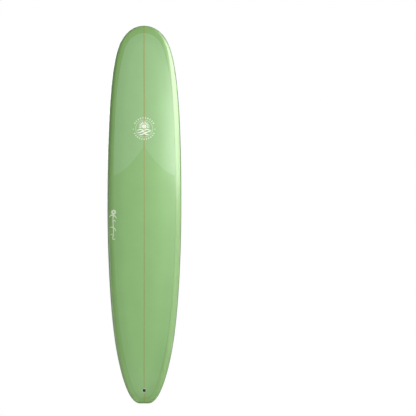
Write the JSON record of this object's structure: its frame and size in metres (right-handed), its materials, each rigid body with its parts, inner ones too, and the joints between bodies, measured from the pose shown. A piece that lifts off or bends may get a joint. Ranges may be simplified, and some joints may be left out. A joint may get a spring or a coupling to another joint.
{
  "type": "longboard surfboard",
  "caption": "Long round-nosed surfboard with a wooden stringer, lapped tinted glass, tail patches, a long fin box and a leash plug.",
  "frame": {"origin": "on the stringer line at half the board's length, on the flat of the bottom, where rocker is measured from", "axes": "+Z along the stringer to the nose, +Y out of the bottom, -Y out of the deck, +X across the board to the right as the deck is seen with the nose up"},
  "size_m": [0.57, 0.126, 2.896],
  "materials": {
    "blank_foam": "sanded rigid foam",
    "stringer_wood": "planed basswood under glass",
    "deck_glass": "green tinted resin and glass cloth, polished gloss",
    "bottom_glass": "green tinted resin and glass cloth, polished gloss",
    "patch_glass": "tinted glass cloth patch under the main lamination",
    "box_plastic": "moulded black, satin",
    "set_resin": "sanded clear resin with the board's tint",
    "plug_plastic": "moulded pale grey",
    "plug_steel": "brushed stainless bar",
    "white_print": "white ink on rice paper, under gloss",
    "tonal_print": "dark green ink on rice paper, under gloss",
    "dark_print": "grey-brown ink on rice paper, under gloss",
    "label_print": "white and black ink on rice paper, under gloss"
  },
  "bodies": {
    "root": {"foam_core_left": "blank_foam", "foam_core_right": "blank_foam", "stringer": "stringer_wood", "bottom_lamination": "bottom_glass", "deck_lamination": "deck_glass", "deck_patch": "patch_glass", "fin_patch": "patch_glass", "fin_box": "box_plastic", "fin_box_bed": "set_resin", "leash_plug_cup": "plug_plastic", "leash_plug_pin": "plug_steel", "leash_plug_bed": "set_resin", "deck_emblem": "white_print", "bottom_emblem": "white_print", "rail_sprig": "white_print", "bottom_badge": "tonal_print", "leaf_mark": "dark_print", "size_label": "label_print"}
  },
  "joints": []
}
